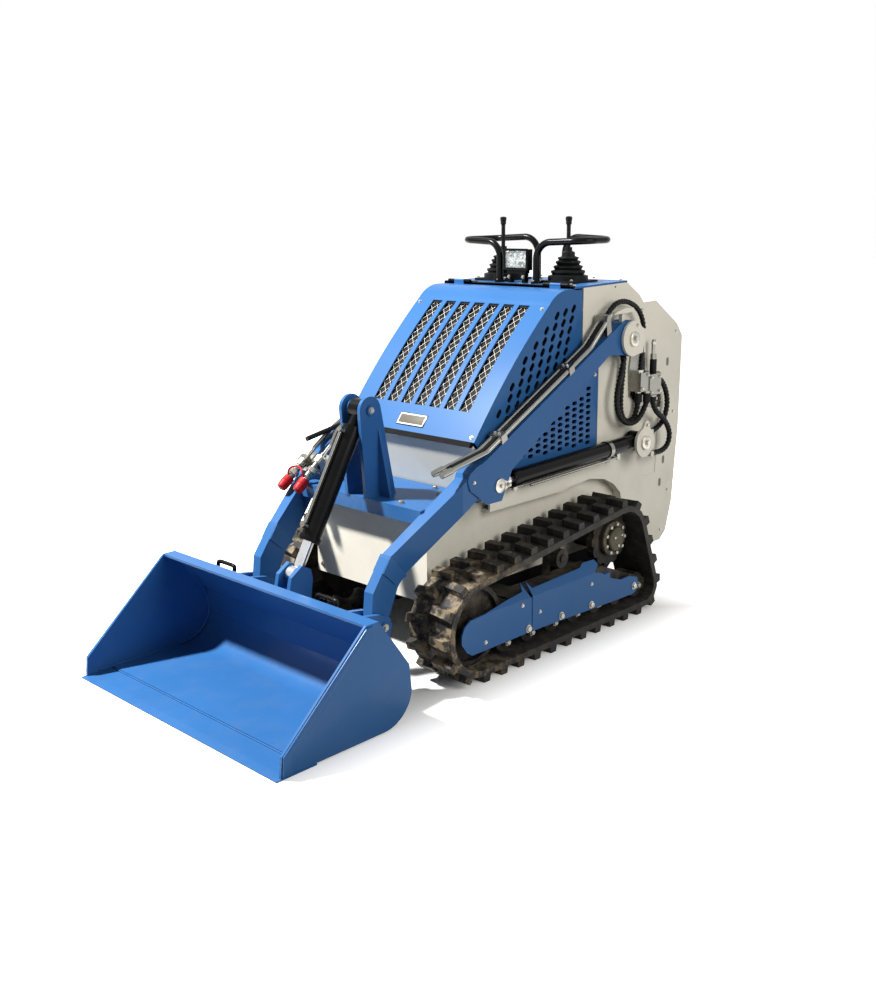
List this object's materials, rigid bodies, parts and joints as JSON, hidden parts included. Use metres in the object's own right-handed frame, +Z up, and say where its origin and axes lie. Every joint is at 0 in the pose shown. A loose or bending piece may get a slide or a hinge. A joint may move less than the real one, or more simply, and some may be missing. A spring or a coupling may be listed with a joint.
{
  "type": "compact track loader",
  "caption": "Stand-on compact track loader with lift arms, front bucket, sloped slotted hood, operator's platform and rubber tracks.",
  "frame": {"origin": "middle of the footprint on the ground", "axes": "+Z up, -Y towards the bucket, +X the operator's left"},
  "size_m": [1.044, 2.247, 1.454],
  "materials": {
    "blue_paint": "gloss",
    "white_paint": "satin",
    "black_paint": "gloss",
    "black_steel": "satin",
    "chrome": "polished",
    "rubber": "matt",
    "black_rubber": "satin",
    "black_foam": "matt",
    "zinc": "satin",
    "lamp_glass": "clear"
  },
  "bodies": {
    "chassis": {"track_left": "rubber", "track_right": "rubber", "track_wheels_left": "black_steel", "track_wheels_right": "black_steel", "sprocket_left": "black_steel", "sprocket_right": "black_steel", "track_frame_left": "black_steel", "track_frame_right": "black_steel", "track_cover_left": "blue_paint", "track_cover_right": "blue_paint", "side_panel_left": "white_paint", "side_panel_right": "white_paint", "lower_grille_left": "blue_paint", "lower_grille_right": "blue_paint", "arm_mount_left": "white_paint", "arm_mount_right": "white_paint", "lower_body": "white_paint", "deck": "blue_paint", "rear_panel": "black_paint", "thigh_pad": "black_foam", "operator_platform": "black_paint", "engine": "black_paint", "joysticks": "black_rubber", "hand_loops": "black_paint", "work_lamp": "lamp_glass", "hood_hinges": "black_paint", "boom_hoses": "black_rubber", "body_hoses": "black_rubber", "hose_blocks": "zinc"},
    "hood": {"hood": "blue_paint", "hood_side_left": "blue_paint", "hood_side_right": "blue_paint", "hood_screen": "black_steel"},
    "arms": {"arm_left": "blue_paint", "arm_right": "blue_paint", "crossmember": "blue_paint", "tilt_bracket": "blue_paint", "arm_tubes": "zinc", "arm_hoses": "black_rubber", "hose_guides": "white_paint", "couplers": "zinc"},
    "bucket": {"bucket": "blue_paint", "cutting_edge": "blue_paint", "coupler": "blue_paint"},
    "tilt_barrel": {"tilt_barrel": "black_paint", "tilt_tube": "zinc"},
    "tilt_rod": {"tilt_rod": "chrome"},
    "lift_barrel_left": {"lift_barrel_left": "black_paint", "lift_tubes_left": "zinc"},
    "lift_rod_left": {"lift_rod_left": "chrome"},
    "lift_barrel_right": {"lift_barrel_right": "black_paint", "lift_tubes_right": "zinc"},
    "lift_rod_right": {"lift_rod_right": "chrome"}
  },
  "joints": [
    {"name": "lift", "type": "hinge", "parent": "chassis", "child": "arms", "pos_m": [0, 0.6685, 1.031], "axis": [-1, 0, 0], "range_deg": [0, 70], "deforming": ["boom_hoses"]},
    {"name": "bucket_tilt", "type": "hinge", "parent": "arms", "child": "bucket", "pos_m": [0, -0.5355, 0.231], "axis": [1, 0, 0], "range_deg": [-22, 68]},
    {"name": "tilt_barrel_swing", "type": "hinge", "parent": "arms", "child": "tilt_barrel", "pos_m": [0, -0.3215, 0.857], "axis": [1, 0, 0], "range_deg": [-0.77, 0.59]},
    {"name": "tilt_rod_slide", "type": "slide", "parent": "tilt_barrel", "child": "tilt_rod", "axis": [0, -0.5047, -0.8633], "range_m": [-0.0494, 0.1505]},
    {"name": "hood_lift", "type": "hinge", "parent": "chassis", "child": "hood", "pos_m": [0, 0.4165, 1.232], "axis": [-1, 0, 0], "range_deg": [0, 50]},
    {"name": "lift_barrel_swing_left", "type": "hinge", "parent": "chassis", "child": "lift_barrel_left", "pos_m": [0.355, 0.7655, 0.631], "axis": [-1, 0, 0], "range_deg": [-0.5, 53.69]},
    {"name": "lift_rod_slide_left", "type": "slide", "parent": "lift_barrel_left", "child": "lift_rod_left", "axis": [0, -0.9996, -0.028], "range_m": [-0.001, 0.3739]},
    {"name": "lift_barrel_swing_right", "type": "hinge", "parent": "chassis", "child": "lift_barrel_right", "pos_m": [-0.355, 0.7655, 0.631], "axis": [-1, 0, 0], "range_deg": [-0.5, 53.69]},
    {"name": "lift_rod_slide_right", "type": "slide", "parent": "lift_barrel_right", "child": "lift_rod_right", "axis": [0, -0.9996, -0.028], "range_m": [-0.001, 0.3739]}
  ],
  "couplings": [
    {"joint": "tilt_barrel_swing", "follows": "bucket_tilt", "ratio": -0.004},
    {"joint": "tilt_rod_slide", "follows": "bucket_tilt", "m_per_rad": 0.126},
    {"joint": "lift_barrel_swing_left", "follows": "lift", "ratio": 0.7598},
    {"joint": "lift_rod_slide_left", "follows": "lift", "m_per_rad": 0.30523},
    {"joint": "lift_barrel_swing_right", "follows": "lift", "ratio": 0.7598},
    {"joint": "lift_rod_slide_right", "follows": "lift", "m_per_rad": 0.30523}
  ]
}
